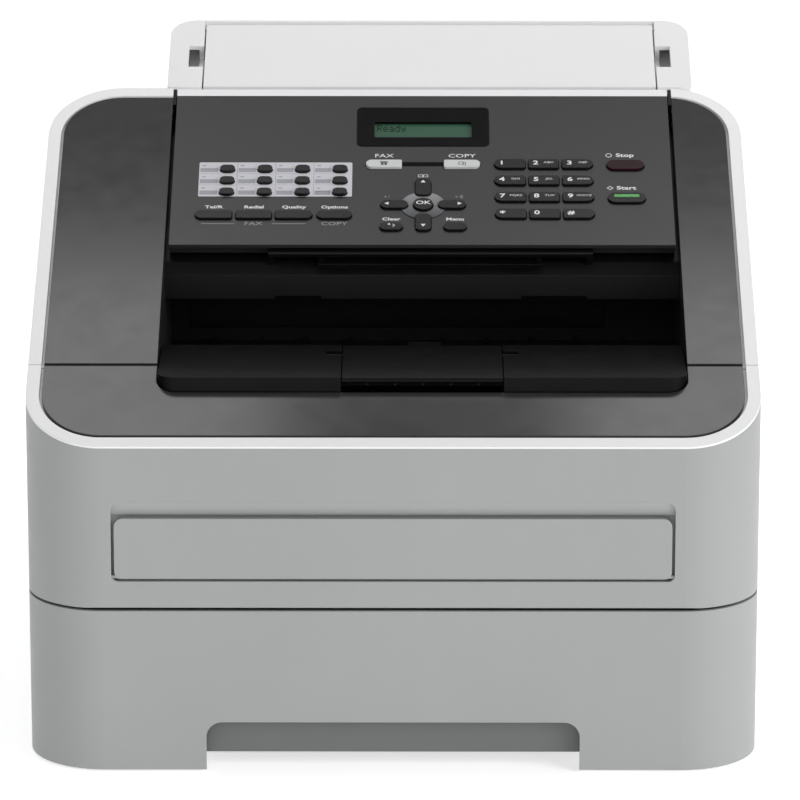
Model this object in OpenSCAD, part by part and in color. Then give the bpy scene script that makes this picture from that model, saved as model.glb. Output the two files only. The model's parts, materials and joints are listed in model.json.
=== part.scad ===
// Compact laser fax machine: paper cassette below, print engine in the middle,
// and a sloped top with the output recess, the control panel and a document feeder.
// Millimetres. Origin: centre of the footprint, on the surface it stands on.
// +X is the user's right, +Y points to the back, +Z is up.

/* [Case] */
// Overall width
case_w = 368; // [366:0.5:370]
// Overall depth
case_d = 360; // [359:0.5:361]
// Radius of the front corners and of the sloped top's corners, seen from above
corner_r = 39; // [36:1:40]
// Radius of the lower rear corners, seen from above
rear_corner_r = 24; // [16:1:30]
// Thickness of the moulded walls
wall = 2.5; // [2:0.1:3]
// Height of the case bottom edge above the ground
skirt_z = 1.2; // [1:0.1:2]

/* [Sloped top] */
// Angle of the sloped top
slope = 22.66; // [22:0.1:23]
// Height of the dark top's front edge
edge_z = 173.3; // [172:0.5:175]
// Width of the white rim
rim_w = 6.6; // [5:0.2:8]
// Gap between the rim and the dark top
rim_gap = 1.5; // [1:0.1:2]
// Length of the sloped top along the slope
slope_len = 298; // [297:0.5:299]
// Seam between the front cover and the fixed top, along the slope
seam_l = 58.2; // [56:0.2:60]

/* [Output recess] */
// Left edge of the recess
recess_x0 = -119; // [-120:0.5:-118]
// Right edge of the recess
recess_x1 = 148; // [147:0.5:149]
// Front edge of the recess, along the slope
recess_l = 35.9; // [34:0.1:38]
// Height of the shelf at the front of the recess
shelf_z = 194.4; // [193:0.1:196]
// Left edge of the support flap
flap_x0 = -25.8; // [-30:0.2:-20]
// Right edge of the support flap
flap_x1 = 55; // [50:0.5:60]

/* [Control panel] */
// Front edge of the control panel, along the slope
panel_l = 158.5; // [157:0.5:160]
// Gap beside the control panel
panel_gap = 2.2; // [1.5:0.1:3]
// Depth of the control panel's side walls
panel_h = 10.5; // [10:0.5:11]
// How far the keys stand above the panel
key_proud = 1.3; // [1.2:0.1:2.5]
// Clearance round each key
key_gap = 0.35; // [0.25:0.05:0.5]

/* [Front] */
// Height of the seam between the paper cassette and the front cover
seam_z = 85.6; // [84:0.1:87]
// Width of the pocket round the manual feed cover
pocket_w = 280.6; // [276:0.2:284]
// Bottom of that pocket
pocket_z0 = 100.4; // [99:0.1:102]
// Top of that pocket
pocket_z1 = 141.8; // [140:0.1:143]
// Half width of the grip cut-out in the cassette
grip_x = 93.7; // [90:0.1:96]
// Top of that cut-out
grip_z = 26.3; // [24:0.1:28]

/* [Document feeder] */
// Left side of the hood
hood_x0 = -122.5; // [-124:0.5:-121]
// Right side of the hood
hood_x1 = 159.5; // [158:0.5:161]
// Rear face of the hood
hood_y1 = 168.5; // [166:0.5:170]
// Height of the hood's rear edge
hood_z1 = 311; // [309:0.5:313]
// Left edge of the document tray
lid_x0 = -103.2; // [-105:0.1:-102]
// Right edge of the document tray
lid_x1 = 140.2; // [139:0.1:142]

/* [Hidden] */
DIGITS = ["1", "2", "3", "4", "5", "6", "7", "8", "9", "star", "0", "hash"];
FUNCTIONS = ["key_hook", "key_redial", "key_resolution", "key_options"];

half_w = case_w / 2;
front_y = -case_d / 2;
back_y = case_d / 2;
edge_y = front_y + rim_w;
big = 500;
eps = 0.01;
run = 0.05;                      // radial clearance of a pin that turns in its bore

// Sloped top: l runs up the slope from the dark top's front edge, n stands out of it.
function at_y(l, n = 0) = edge_y + l * cos(slope) - n * sin(slope);
function at_z(l, n = 0) = edge_z + l * sin(slope) + n * cos(slope);
top_t = 2.2;                     // thickness of the dark top plates
top_back_y = at_y(slope_len);
seam_y = at_y(seam_l) + 1;       // the front pieces end, and the side covers begin, here
seam_gap = 0.6;

// Rear roof, which falls away behind the sloped top.
roof_y0 = top_back_y - corner_r;
roof_z0 = at_z((roof_y0 - edge_y) / cos(slope)) - 6;
roof_fall = 22;

// Front cover: its hinge line lies just inside the cover's lower edge.
cover_z0 = seam_z + 0.75;
cover_edge_r = 1.2;              // rounding of that edge, which clears the cassette as it turns
cover_pivot_y = front_y + 6;
cover_pivot_z = cover_z0 + 6;
cover_pin_r = 2.5;
ear_x = 146.4;

// Manual feed cover
mf_t = 2.8;
mf_w = pocket_w - 3;
mf_z1 = 133;
mf_pivot_y = front_y + 0.4 + mf_t / 2;
mf_pivot_z = pocket_z0 + 0.7 + mf_t / 2;
mf_pin_r = 1;
pocket_y = front_y + 5.5;
slot_w = 224;

// Support flap
flap_y0 = at_y(recess_l) + 1.1;
shelf_y1 = -77;
flap_t = 3;
flap_pivot_y = -93;
flap_pivot_z = shelf_z - 0.2 - flap_t / 2;
flap_pin_r = 1.2;

// Paper cassette
tray_x = 122;
tray_y0 = front_y + 8;
tray_y1 = 128;
tray_z0 = 8;
tray_z1 = 70;
lift_y = 6;
lift_z = 13.4;
lift_x = 68;
guide_x = 108;

// Engine frame
rail_x = 125;
frame_y0 = -110;
frame_y1 = 170;
frame_z1 = 158;
roller_y = -96;
roller_z = 86;
roller_r = 12;
shaft_r = 3;

// Control panel
panel_x0 = recess_x0 + panel_gap;
panel_x1 = recess_x1 - panel_gap;
panel_t = 2.5;
hinge_l = slope_len - 2.5;
hinge_n = -2.4;
hinge_r = 1.6;
board_n = -8.6;
key_flange = 0.8;

// Document feeder
adf_n = -12;
adf_l0 = 160;
adf_l1 = 289;
adf_roller_l = 236;
adf_roller_r = 6;
hood_y0 = top_back_y + 1.4;
hood_z0 = at_z(slope_len) + 0.4;
hood_fall = atan((hood_z1 - hood_z0) / (hood_y1 - hood_y0));
hood_len = (hood_y1 - hood_y0) / cos(hood_fall);
lid_t = 3;
lid_l1 = hood_len - 2.4;
lid_pin_l = hood_len - 5.4;
lid_pin_r = 1;
lid_gap = 0.8;                   // beside the document tray
doc_floor = 12;                  // depth of the hood's document floor below its top
notch_l0 = 20.8;
notch_l1 = 42.2;
notch_w = 8.8;

// Rear cover
rear_x = 110;
rear_z0 = 96;
rear_z1 = 196;
rear_t = 2.6;
rear_pivot_y = back_y - rear_t / 2;
rear_pivot_z = rear_z0 + rear_t / 2;
rear_pin_r = 1;

// Key layout on the panel: [left, right, front, back, left end round, right end round]
pad_x = [52.6, 70.6, 88.3];
pad_w = [16.1, 15.7, 16.1];
pad_l = [224.4, 209.8, 195.2, 180.5];
pad_d = 7.6;
func_x = [[-103.8, -84.8], [-82.6, -64.1], [-62.1, -42.9], [-40.4, -22.2]];
func_l = 180.2;
func_d = 6.4;
touch_x = [-88.0, -68.2, -48.4, -28.7];
touch_l = [223.6, 213.4, 203.3];
touch_w = 7.6;
touch_d = 5.2;
nav_x = 15;
nav_l = 192.2;

// ---------- shared shapes ----------

// Rectangle from a corner to the opposite corner, with round corners
module round_rect(x0, y0, x1, y1, r) {
    translate([x0 + r, y0]) square([x1 - x0 - 2 * r, y1 - y0]);
    translate([x0, y0 + r]) square([x1 - x0, y1 - y0 - 2 * r]);
    for (x = [x0 + r, x1 - r], y = [y0 + r, y1 - r]) {
        translate([x, y]) circle(r, $fn = 64);
    }
}

// Rectangle whose front corners and rear corners have different radii
module two_radius_rect(x0, y0, x1, y1, front_r, rear_r) {
    translate([x0, y0 + front_r]) square([x1 - x0, y1 - y0 - front_r - rear_r]);
    translate([x0 + front_r, y0]) square([x1 - x0 - 2 * front_r, front_r + eps]);
    translate([x0 + rear_r, y1 - rear_r - eps]) square([x1 - x0 - 2 * rear_r, rear_r + eps]);
    for (x = [x0 + front_r, x1 - front_r]) {
        translate([x, y0 + front_r]) circle(front_r, $fn = 96);
    }
    for (x = [x0 + rear_r, x1 - rear_r]) {
        translate([x, y1 - rear_r]) circle(rear_r, $fn = 96);
    }
}

// Outline of the case from above, drawn in by a distance
module plan(inset = 0) {
    two_radius_rect(-half_w + inset, front_y + inset, half_w - inset, back_y - inset,
        corner_r - inset, rear_corner_r - inset);
}

// Outline of the sloped top from above, drawn in by a distance
module top_plan(inset = 0) {
    two_radius_rect(-half_w + inset, front_y + inset, half_w - inset, top_back_y - inset,
        corner_r - inset, corner_r - inset);
}

module box(x0, y0, z0, x1, y1, z1) {
    translate([x0, y0, z0]) cube([x1 - x0, y1 - y0, z1 - z0]);
}

// Mirror image added on the other side of the centre plane
module both_sides() {
    children();
    mirror([1, 0, 0]) children();
}

// Cylinder along X
module rod(x0, x1, y, z, r) {
    translate([x0, y, z]) rotate([0, 90, 0]) cylinder(h = x1 - x0, r = r, $fn = 48);
}

// Profile in the Y-Z plane, drawn out along X
module profile(x0, x1, points) {
    translate([x0, 0, 0]) rotate([90, 0, 90]) linear_extrude(x1 - x0) polygon(points);
}

// Places its children in the slope's own frame
module on_slope() {
    translate([0, edge_y, edge_z]) rotate([slope, 0, 0]) children();
}

// Slab that lies in the sloped top
module slope_slab(l0, l1, n0, n1) {
    on_slope() box(-big, l0, n0, big, l1, n1);
}

// Everything under a plane parallel to the sloped top
module under_slope(n) {
    on_slope() box(-big, -big, -big, big, big, n);
}

// Everything under the rear roof
module under_roof(drop = 0) {
    translate([0, roof_y0, roof_z0 - drop]) rotate([-roof_fall, 0, 0]) {
        box(-big, -big, -big, big, big, 0);
    }
}

// Places its children in the hood's own frame: y runs up the hood from its front edge
module on_hood() {
    translate([0, hood_y0, hood_z0]) rotate([hood_fall, 0, 0]) children();
}

module plan_ring(a, b, z0, z1) {
    translate([0, 0, z0]) linear_extrude(z1 - z0) difference() {
        plan(a);
        plan(b);
    }
}

module top_ring(a, b) {
    linear_extrude(400) difference() {
        top_plan(a);
        top_plan(b);
    }
}

// ---------- case ----------

module ear() {
    difference() {
        union() {
            box(ear_x, frame_y0 - 66, cover_pivot_z + 0.6, ear_x + 3, frame_y0, cover_pivot_z + 9);
            rod(ear_x, ear_x + 3, cover_pivot_y, cover_pivot_z, 3);
        }
        box(ear_x - 1, front_y, cover_pivot_z + 3.2, ear_x + 4, cover_pivot_y, cover_pivot_z + 20);
    }
    rod(ear_x - 3.4, ear_x + eps, cover_pivot_y, cover_pivot_z, cover_pin_r);
    box(rail_x, frame_y0 - 2.5, 88, ear_x + 3, frame_y0, 150);
}

module base_frame() {
    color("#56585a") {
        both_sides() {
            // engine side wall with the roller shaft's bore
            difference() {
                box(rail_x, frame_y0, 5.4, rail_x + wall, frame_y1, frame_z1);
                rod(rail_x - 1, rail_x + wall + 1, roller_y, roller_z, shaft_r + run);
                for (k = [0:3]) {
                    box(rail_x - 1, -40 + 44 * k, 100, rail_x + wall + 1, -14 + 44 * k, 140);
                }
                // notch for the socket block
                box(rail_x - 1, 163.6, 29.8, rail_x + wall + 1, frame_y1 + 1, 66.2);
            }
            ear();
            for (y = [frame_y0 + 12, frame_y1 - 16]) {
                translate([158, y, 0]) cylinder(h = 3.1, r = 9, $fn = 48);
            }
        }
        // bottom plate
        difference() {
            box(-half_w + 8, frame_y0, 3, half_w - 8, frame_y1, 5.5);
            for (k = [0:6]) {
                box(-90, -80 + 32 * k, 2, 90, -66 + 32 * k, 7);
            }
        }
        // beam behind the seam of the front cover
        box(-ear_x, frame_y0 - 55, 76, ear_x, frame_y0 - 53, cover_pivot_z + 9);
        // deck under the engine, and the wall behind the cassette
        difference() {
            box(-rail_x, -60, 84, rail_x, 120, 86.5);
            box(-100, 20, 83, 100, 44, 88);
        }
        box(-rail_x, tray_y1 + 3, 5.4, rail_x, tray_y1 + 5.5, 74);
    }
}

// Side wall of the case; vents are cut by the caller's children
module side_wall() {
    difference() {
        intersection() {
            box(half_w - wall, seam_y, skirt_z, half_w, 139.9, 300);
            under_slope(-1);
            under_roof();
        }
        children();
    }
    // screw bosses and the flange that stands on the bottom plate
    for (y = [-90, 20, 120], z = [14, 150]) {
        translate([half_w - wall - 12, y, z]) rotate([0, 90, 0]) {
            difference() {
                cylinder(h = 12 + eps, r = 4, $fn = 32);
                translate([0, 0, -1]) cylinder(h = 10, r = 1.4, $fn = 32);
            }
        }
    }
    box(half_w - 10, seam_y, 5.6, half_w - wall + eps, 139.9, 7.6);
}

module left_cover() {
    color("#a6a9a8") mirror([1, 0, 0]) {
        side_wall() {
            // speaker grille
            for (a = [0:6], b = [0:6]) {
                if (norm([a - 3, b - 3]) < 3.3) {
                    translate([half_w - 4, -70 + 6 * a, 50 + 6 * b]) rotate([0, 90, 0]) {
                        cylinder(h = 8, r = 1.5, $fn = 24);
                    }
                }
            }
        }
    }
}

module right_cover() {
    color("#a6a9a8") {
        side_wall() {
            // cooling slots
            for (k = [0:9]) {
                box(half_w - 4, 30, 96 + 7 * k, half_w + 1, 112, 99 + 7 * k);
            }
        }
    }
}

module rear_housing() {
    color("#9da0a0") {
        difference() {
            union() {
                intersection() {
                    plan_ring(0, wall, skirt_z, 300);
                    box(-big, 140.2, 0, big, big, 300);
                    under_roof();
                }
                // roof behind and beside the sloped top
                intersection() {
                    linear_extrude(300) difference() {
                        plan(0);
                        top_plan(-0.1);
                    }
                    difference() {
                        box(-big, roof_y0 + 0.5, 100, big, big, 300);
                        both_sides() box(half_w - wall - 0.1, roof_y0, 99, big, 140.2, 301);
                    }
                    difference() {
                        under_roof();
                        under_roof(wall);
                    }
                }
                // bearing lugs of the rear cover
                both_sides() {
                    box(rear_x + 0.6, back_y - 8, rear_z0 - 3, rear_x + 3.6, back_y - eps,
                        rear_z0 + 8);
                }
            }
            both_sides() rod(rear_x, rear_x + 5, rear_pivot_y, rear_pivot_z, rear_pin_r + run);
            // doorway of the rear cover
            box(-rear_x - 0.6, back_y - 10, rear_z0 - 0.6, rear_x + 0.6, back_y + 1, rear_z1 + 0.6);
            // socket plate
            box(-164, back_y - 10, 30, -104, back_y + 1, 66);
        }
        // ledge that closes the bottom edge and stands on the bottom plate
        intersection() {
            linear_extrude(10) plan(wall);
            box(-big, 140.2, 5.6, big, big, 7.6);
            difference() {
                box(-big, 140.2, 0, big, big, 20);
                box(-rail_x - 4, 0, 0, rail_x + 4, frame_y1 + 1, 20);
            }
        }
    }
}

// White rim between two places along the slope
module rim_piece(l0, l1) {
    intersection() {
        union() {
            intersection() {
                top_ring(0, rim_w);
                slope_slab(-big, big, -1, 0);
            }
            intersection() {
                top_ring(wall + 0.3, rim_w);
                slope_slab(-big, big, -4.4, -1 + eps);
            }
            intersection() {
                top_ring(rim_w - eps, 14);
                slope_slab(-big, big, -4.4, -top_t - 0.2);
            }
        }
        slope_slab(l0, l1, -60, 1);
    }
}

module rim_frame() {
    color("#eceded") difference() {
        union() {
            rim_piece(seam_l + 0.4, slope_len + 1);
            // wall behind the sloped top, down to the roof
            difference() {
                intersection() {
                    top_ring(0, wall);
                    under_slope(-1 + eps);
                    box(-big, roof_y0, 180, big, big, 400);
                }
                under_roof(wall);
                // the side covers reach up to the roof here
                intersection() {
                    both_sides() box(half_w - wall - 0.2, 0, 180, big, 140.2, 400);
                    under_roof(-0.05);
                }
            }
        }
        // room for the control panel and the document path
        on_slope() box(recess_x0, 70, -15.2, recess_x1, slope_len + 20, 5);
    }
}

module top_cover() {
    color("#55575a") {
        intersection() {
            linear_extrude(400) top_plan(rim_w + rim_gap);
            difference() {
                slope_slab(seam_l + 1, big, -top_t, 0);
                on_slope() box(recess_x0, 0, -20, recess_x1, big, 5);
            }
        }
        // walls that hang down beside the recess, joined by a bar below the feeder
        for (x = [recess_x0 - 2, recess_x1]) {
            intersection() {
                profile(x, x + 2, [
                    [seam_y + 0.6, 166], [48, 162], [86.5, 194], [86.5, 300],
                    [seam_y + 0.6, 300]]);
                under_slope(-top_t + eps);
            }
        }
        box(recess_x0 - 1, 64, 200, recess_x1 + 1, 67, 204);
    }
}

module output_tray() {
    color("#1b1c1e") {
        difference() {
            union() {
                // floor, front wall and rear wall
                profile(recess_x0, recess_x1, [
                    [-117, 167], [45, 161], [48, 161], [48, 206], [45.5, 206],
                    [45.5, 163.5], [-114.5, 169.5], [-114.5, 180], [-117, 180]]);
                // chute behind the exit slot
                profile(-113, 115, [[58, 161], [60.5, 161], [60.5, 186], [84, 197], [84, 199], [58, 187]]);
                for (x = [-113, 113]) {
                    profile(x, x + 2, [[47, 161], [59, 161], [59, 187], [47, 187]]);
                }
                // ribs that let the sheets slide
                for (x = [-96:24:120]) {
                    profile(x, x + 1.6, [
                        [-114.5, 169], [45.6, 163], [45.6, 165.2], [-70, 171.6], [-114.5, 171.6]]);
                }
            }
            // slot where the printed sheets come out
            box(-110, 40, 170, 112, 50, 184);
        }
    }
}

// ---------- document feeder ----------

module adf_base() {
    color("#202124") {
        y0 = at_y(adf_l0, adf_n);
        z0 = at_z(adf_l0, adf_n);
        y1 = at_y(adf_l1, adf_n);
        z1 = at_z(adf_l1, adf_n);
        low_z = 205;
        // closed box below the document path, open inside
        difference() {
            profile(recess_x0, recess_x1, [
                [y0 - 5, low_z], [y0 + 1, low_z], [y1, low_z + 41], [y1, z1], [y0, z0], [y0 - 5, z0 - 6]]);
            profile(recess_x0 + 3, recess_x1 - 3, [
                [y0 - 1, low_z + 4], [y1 - 3, low_z + 46], [y1 - 3, z1 - 5.5], [y0 - 1, z0 - 5]]);
            // slots for the feed roller, and the scanning window's seat
            on_slope() {
                for (x = [-60, 0, 60]) {
                    box(nav_x + x - 13, adf_roller_l - 7.5, adf_n - 6, nav_x + x + 13,
                        adf_roller_l + 7.5, adf_n + 1);
                }
                box(nav_x - 112, 196, adf_n - 6, nav_x + 112, 208, adf_n + 1);
            }
            on_slope() rod(recess_x0 + 1, recess_x1 - 1, adf_roller_l, adf_n - 5.4, shaft_r + run);
            // steps in the lower front edge
            for (x = [[-62, -38], [66, 100]]) {
                box(x[0], y0 - 6, low_z - 1, x[1], y0 + 6, low_z + 1.6);
            }
        }
        // scanning window
        on_slope() box(nav_x - 112, 196, adf_n - 5, nav_x + 112, 208, adf_n - 0.6);
        // exit rail for the scanned sheets, carried by brackets, and the ramp below it
        on_slope() {
            box(-65.3, 157.2, -6.4, 102.9, 163, -3.4);
            box(-65.3, 156, -6.4, 102.9, 157.3, -4.6);
            rod(-65.3, 102.9, 157.2, -4.6, 1.2);
            for (x = [-65.3, -39.6, 73.6, 99.9]) {
                box(x, 158, adf_n - 4, x + 3, 163, -6);
            }
            profile(-39.6, 76.6, [
                [152.8, -8.2], [164, -11.9], [164, -16], [160, -16], [152.6, -9.6]]);
        }
        // bearing ears of the control panel
        for (x = [recess_x0, recess_x1 - 1.8]) {
            difference() {
                on_slope() box(x, hinge_l - 12, adf_n - 3, x + 1.8, hinge_l + 2, -0.6);
                on_slope() rod(x - 1, x + 3, hinge_l, hinge_n, hinge_r + run);
                box(x - 1, hood_y0 - 0.4, 0, x + 3, big, 400);
            }
        }
    }
}

module adf_roller() {
    color("#2c2c2c") on_slope() {
        rod(recess_x0 + 1.4, recess_x1 - 1.4, adf_roller_l, adf_n - 5.4, shaft_r);
        for (x = [-60, 0, 60]) {
            rod(nav_x + x - 11, nav_x + x + 11, adf_roller_l, adf_n - 5.4, adf_roller_r);
        }
    }
}

// Room for the document tray's pins, and for its rear edge as it swings up
module lid_swing() {
    box(lid_x0 - lid_gap - 0.3, 158, 303.4, lid_x1 + lid_gap + 0.3, hood_y1 - 1.3, 400);
    on_hood() rod(lid_x0 - 3.8, lid_x1 + 3.8, lid_pin_l, -lid_t + 0.6, lid_pin_r + run);
}

module hood_shell() {
    difference() {
        intersection() {
            linear_extrude(400) difference() {
                two_radius_rect(hood_x0, hood_y0, hood_x1, hood_y1, 1, 14);
                two_radius_rect(hood_x0 + wall, hood_y0 + wall, hood_x1 - wall,
                    hood_y1 - wall, 1, 14 - wall);
            }
            on_hood() box(-big, -big, -big, big, big, 0);
        }
        under_roof();
        // low front wall, so that documents pass over it
        box(recess_x0, hood_y0 - 1, hood_z0 - doc_floor, recess_x1, hood_y0 + 4, 400);
        on_hood() box(lid_x0 - lid_gap, -5, -3.4, lid_x1 + lid_gap, lid_l1 + 0.4, 5);
    }
}

// Top deck with the opening for the document tray
module hood_deck() {
    difference() {
        intersection() {
            linear_extrude(400) {
                two_radius_rect(hood_x0 + 1, hood_y0, hood_x1 - 1, hood_y1 - 1, 1, 13);
            }
            on_hood() box(-big, -big, -2.5, big, big, 0);
        }
        on_hood() {
            box(lid_x0 - lid_gap, -5, -5, lid_x1 + lid_gap, lid_l1 + 0.4, 5);
            for (x = [lid_x0 - notch_w, lid_x1]) {
                box(x, notch_l0, -5, x + notch_w, notch_l1, 5);
            }
        }
    }
}

module hood_frame() {
    color("#eeeeee") difference() {
        union() {
            hood_shell();
            hood_deck();
            // floor that guides the documents down to the feeder
            intersection() {
                linear_extrude(400) two_radius_rect(hood_x0 + 1, hood_y0 + 1, hood_x1 - 1,
                    hood_y1 - 1, 1, 13);
                on_hood() box(-big, -big, -doc_floor - 2.5, big, big, -doc_floor);
            }
            // walls of the document channel
            for (x = [lid_x0 - lid_gap - 2.6, lid_x1 + lid_gap + 0.1]) {
                difference() {
                    on_hood() box(x, 3, -doc_floor - eps, x + 2.5, hood_len - 3, -2.5 + eps);
                    on_hood() box(x - 1, notch_l0, -8, x + 4, notch_l1, 0);
                }
            }
        }
        lid_swing();
    }
}

module document_tray() {
    color("#f0f0f0") on_hood() {
        difference() {
            union() {
                box(lid_x0, 0.4, -lid_t, lid_x1, lid_pin_l, 0);
                rod(lid_x0, lid_x1, lid_pin_l, -1.5, 1.5);
            }
            // shallow field on the underside, between the stiffening edges
            box(lid_x0 + 6, 7, -lid_t - 1, lid_x1 - 6, lid_pin_l - 8, -1.6);
        }
        for (x = [lid_x0 + 40 : 54 : lid_x1 - 20]) {
            box(x, 6, -lid_t, x + 1.6, lid_pin_l - 7, -1.5);
        }
        for (x = [lid_x0 - 2.8, lid_x1 - 1]) {
            rod(x, x + 3.8, lid_pin_l, -lid_t + 0.6, lid_pin_r);
        }
    }
}

// ---------- front ----------

// The space that belongs to the front cover
module front_space() {
    e = cover_edge_r;
    difference() {
        box(-big, front_y - 10, cover_z0, big, seam_y - seam_gap, 400);
        difference() {
            box(-big - 1, front_y - 11, 0, big + 1, front_y + e, cover_z0 + e);
            rod(-big - 2, big + 2, front_y + e, cover_z0 + e, e);
        }
    }
}

module pocket_cut() {
    difference() {
        translate([0, pocket_y, 0]) rotate([90, 0, 0]) linear_extrude(20) {
            round_rect(-pocket_w / 2, pocket_z0, pocket_w / 2, pocket_z1, 5);
            round_rect(-pocket_w / 2, pocket_z0, pocket_w / 2, pocket_z0 + 12, 3.4);
        }
        // sloping finger scoop above the cover
        profile(-big, big, [
            [pocket_y + 1, pocket_z1 - 7.6], [pocket_y - 2, pocket_z1 - 7.6],
            [front_y + 0.3, pocket_z1 - 0.6], [front_y + 0.3, pocket_z1 + 1], [pocket_y + 1, pocket_z1 + 1]]);
    }
}

module front_cover() {
    color("#a9acab") difference() {
        union() {
            intersection() {
                plan_ring(0, wall, cover_z0, 400);
                front_space();
                under_slope(-1);
            }
            // tub of the manual feed pocket
            box(-pocket_w / 2 - 2, front_y + 1, pocket_z0 - 2, pocket_w / 2 + 2, pocket_y + 2,
                pocket_z1 + 2);
            // hinge arms
            both_sides() {
                rod(ear_x - 3.4, ear_x - 0.4, cover_pivot_y, cover_pivot_z, 3.45);
                box(ear_x - 3.4, front_y + 1, cover_pivot_z, ear_x - 0.4, cover_pivot_y, 104);
            }
        }
        pocket_cut();
        box(-slot_w / 2, pocket_y - 1, 106, slot_w / 2, pocket_y + 3, 122);
        both_sides() {
            rod(ear_x - 4, ear_x, cover_pivot_y, cover_pivot_z, cover_pin_r + run);
            rod(mf_w / 2 - 2, pocket_w / 2 + 1.6, mf_pivot_y, mf_pivot_z, mf_pin_r + run);
        }
    }
}

module manual_feed_cover() {
    color("#abaead") {
        intersection() {
            translate([0, front_y + 0.4 + mf_t, 0]) rotate([90, 0, 0]) linear_extrude(mf_t) {
                round_rect(-mf_w / 2, mf_pivot_z - mf_t / 2, mf_w / 2, mf_z1, 4.4);
            }
            union() {
                box(-big, front_y, mf_pivot_z, big, 0, 200);
                rod(-big, big, mf_pivot_y, mf_pivot_z, mf_t / 2);
            }
        }
        both_sides() rod(mf_w / 2 - 6, pocket_w / 2 + 1.4, mf_pivot_y, mf_pivot_z, mf_pin_r);
        // stiffening rib behind the cover
        box(-slot_w / 2 + 4, front_y + 0.4 + mf_t - eps, 112, slot_w / 2 - 4,
            front_y + 0.4 + mf_t + 1.4, 113.6);
    }
}

module front_rim() {
    color("#eceded") intersection() {
        rim_piece(-20, seam_l - 0.4);
        box(-big, front_y - 10, 0, big, seam_y - seam_gap, 400);
    }
}

module front_top() {
    color("#6a6c6e") difference() {
        intersection() {
            linear_extrude(400) top_plan(rim_w + rim_gap);
            slope_slab(-20, seam_l - 1, -top_t, 0);
        }
        on_slope() translate([0, 0, -10]) linear_extrude(20) {
            round_rect(recess_x0, recess_l, recess_x1, recess_l + 60, 10);
        }
    }
}

module front_shelf() {
    x0 = recess_x0 + 0.6;
    x1 = recess_x1 - 0.6;
    color("#26272a") {
        difference() {
            translate([0, 0, 181]) linear_extrude(shelf_z - 181) {
                two_radius_rect(x0, flap_y0, x1, shelf_y1, 9.4, 1);
            }
            translate([0, 0, 180]) linear_extrude(shelf_z - 182.4) {
                two_radius_rect(x0 + 2, flap_y0 + 2, x1 - 2, shelf_y1 - 2, 7.4, 1);
            }
            // the shelf's rear is cut low, to pass over the recess wall
            box(-big, -121, 170, big, 0, shelf_z - 5);
            rod(flap_x0 - 10.4, flap_x1 + 10.4, flap_pivot_y, flap_pivot_z, flap_pin_r + run);
            // opening for the support flap and its hinge pockets
            box(flap_x0 - 0.5, flap_y0 - 1, 185, flap_x1 + 0.5, shelf_y1 + 1, shelf_z + 1);
            for (x = [flap_x0 - 8.5, flap_x1 + 0.4]) {
                box(x, flap_pivot_y - 4, 185, x + 8.1, flap_pivot_y + 4, shelf_z + 1);
            }
        }
        // bearing walls of the flap, and the seat below its front
        for (x = [flap_x0 - 10.5, flap_x1 + 8.5]) {
            difference() {
                box(x, flap_pivot_y - 4, shelf_z - 5.4, x + 2, flap_pivot_y + 4, shelf_z - 0.3);
                rod(x - 1, x + 3, flap_pivot_y, flap_pivot_z, flap_pin_r + run);
            }
        }
        box(flap_x0 - 2.5, flap_y0, 183, flap_x1 + 2.5, -121, 185.2);
        for (x = [flap_x0 - 2.5, flap_x1 + 0.5]) {
            box(x, flap_y0 + 1.9, 185, x + 2, -121, shelf_z - 2);
        }
    }
}

module support_flap() {
    color("#303134") {
        top_z = shelf_z - 0.2;
        box(flap_x0, flap_y0 + 1.5, top_z - flap_t, flap_x1, shelf_y1 - 0.5, top_z);
        rod(flap_x0, flap_x1, flap_y0 + 1.5, top_z - 1.5, 1.5);
        // tongue behind the flap
        box(7.5, shelf_y1 - 1, top_z - 2.2, 24, shelf_y1 + 8, top_z - 0.4);
        for (x = [flap_x0 - 10, flap_x1 - 2]) {
            rod(x, x + 12, flap_pivot_y, flap_pivot_z, flap_pin_r);
        }
        for (x = [flap_x0 + 12 : 14 : flap_x1 - 10]) {
            box(x, flap_y0 + 4, top_z - flap_t - 2, x + 1.4, -100, top_z - flap_t + eps);
        }
    }
}

// ---------- paper cassette ----------

module paper_tray() {
    color("#a4a7a6") {
        // front, wrapped round both corners
        difference() {
            intersection() {
                plan_ring(0, wall, skirt_z, seam_z - 0.7);
                box(-big, front_y - 1, 0, big, seam_y - seam_gap, 100);
            }
            translate([0, front_y + 10, 0]) rotate([90, 0, 0]) linear_extrude(20) {
                round_rect(-grip_x, -30, grip_x, grip_z, 8);
            }
        }
        // cassette, open at the top
        difference() {
            box(-tray_x, tray_y0, tray_z0, tray_x, tray_y1, tray_z1);
            box(-tray_x + 2.2, tray_y0 + 2.2, tray_z0 + 2.2, tray_x - 2.2, tray_y1 - 2.2, 80);
            // finger gap in the front wall
            box(-30, tray_y0 - 1, 52, 30, tray_y0 + 4, 80);
            for (k = [0:4]) {
                box(-4, 20 + 20 * k, tray_z0 - 1, 4, 30 + 20 * k, tray_z0 + 3);
            }
        }
        // webs and the ledge that carry the front
        both_sides() {
            for (x = [60, 118]) {
                box(x, front_y + wall - eps, grip_z + 3, x + 2.5, tray_y0 + eps, 68);
            }
            box(118, front_y + wall - eps, 66, 150, tray_y0 + 2, 68.5);
        }
        // rack grooves for the side guides
        for (y = [-104, -76]) {
            box(-64, y, tray_z0 + 2.1, 64, y + 2, tray_z0 + 3.4);
        }
        // pivots of the lifting plate
        both_sides() {
            difference() {
                box(lift_x + 0.6, lift_y - 4, tray_z0 + 2.1, lift_x + 3.1, lift_y + 4, lift_z + 4);
                rod(lift_x, lift_x + 4, lift_y, lift_z, 1.5 + run);
            }
        }
    }
}

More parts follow.
